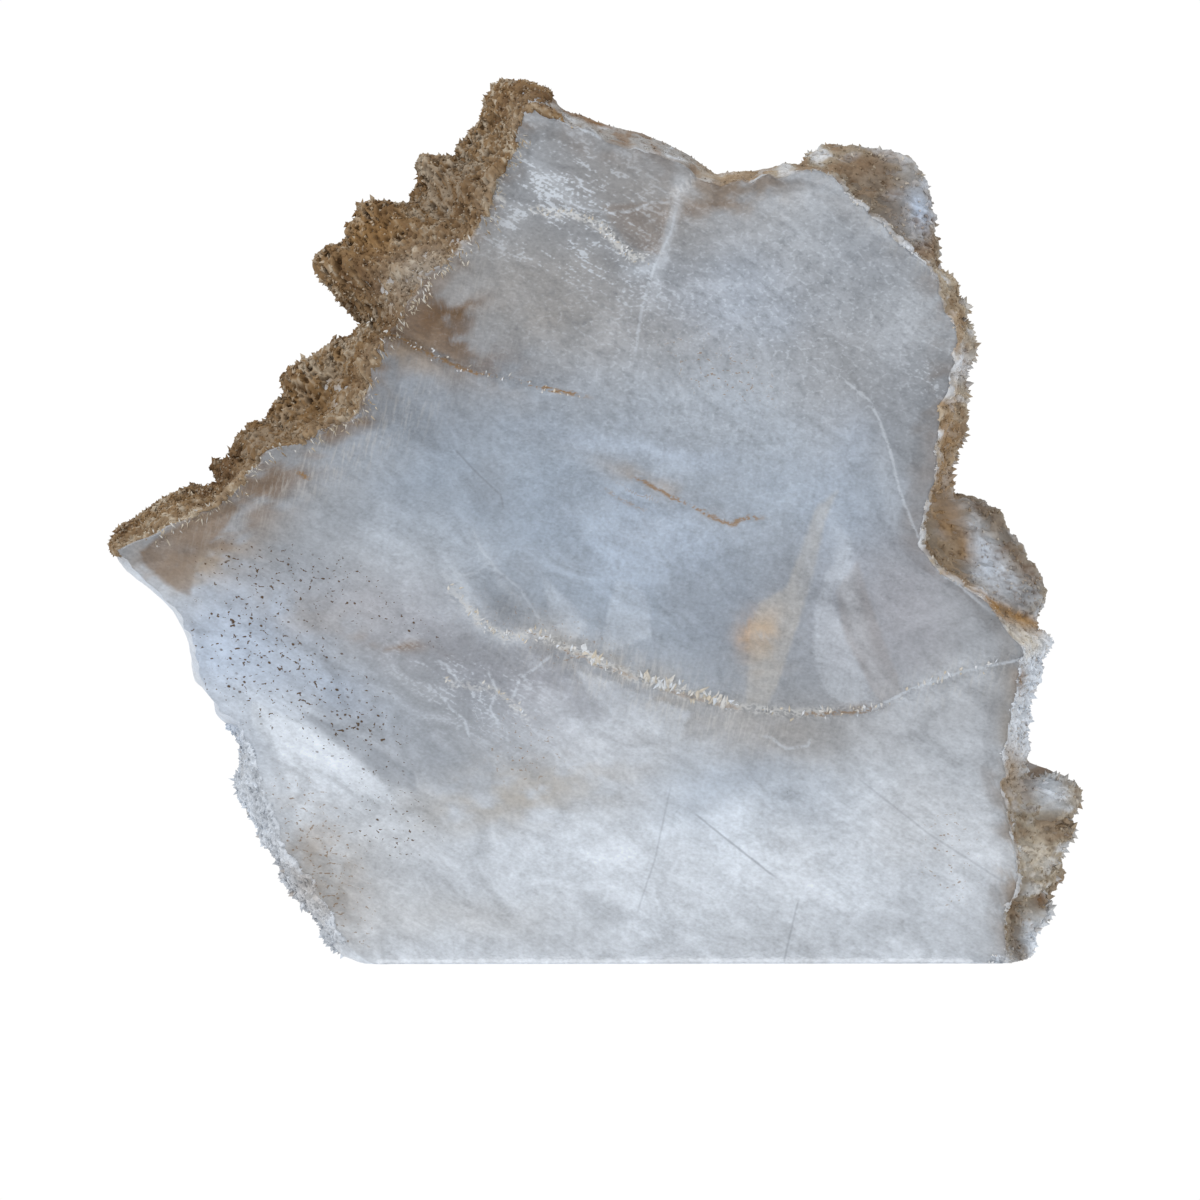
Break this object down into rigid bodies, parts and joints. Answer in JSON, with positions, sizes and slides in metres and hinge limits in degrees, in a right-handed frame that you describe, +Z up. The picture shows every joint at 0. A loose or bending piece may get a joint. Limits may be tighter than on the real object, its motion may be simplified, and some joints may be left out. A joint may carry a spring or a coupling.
{
  "type": "selenite slab",
  "caption": "Thick plate of milky see-through selenite crystal with a flat cleavage face, a porous brown rind, toothed edges and a sawn base to stand on.",
  "frame": {"origin": "on the surface it stands on, under the middle of its bounding box", "axes": "+X to the right along the slab's width as seen from the front, +Y from the cleavage face to the back, +Z up"},
  "size_m": [0.2768, 0.046, 0.25],
  "materials": {
    "selenite": "milky, half see-through crystal with satin cleavage faces, stained brown and porous along one edge"
  },
  "bodies": {
    "root": {"slab": "selenite"}
  },
  "joints": []
}
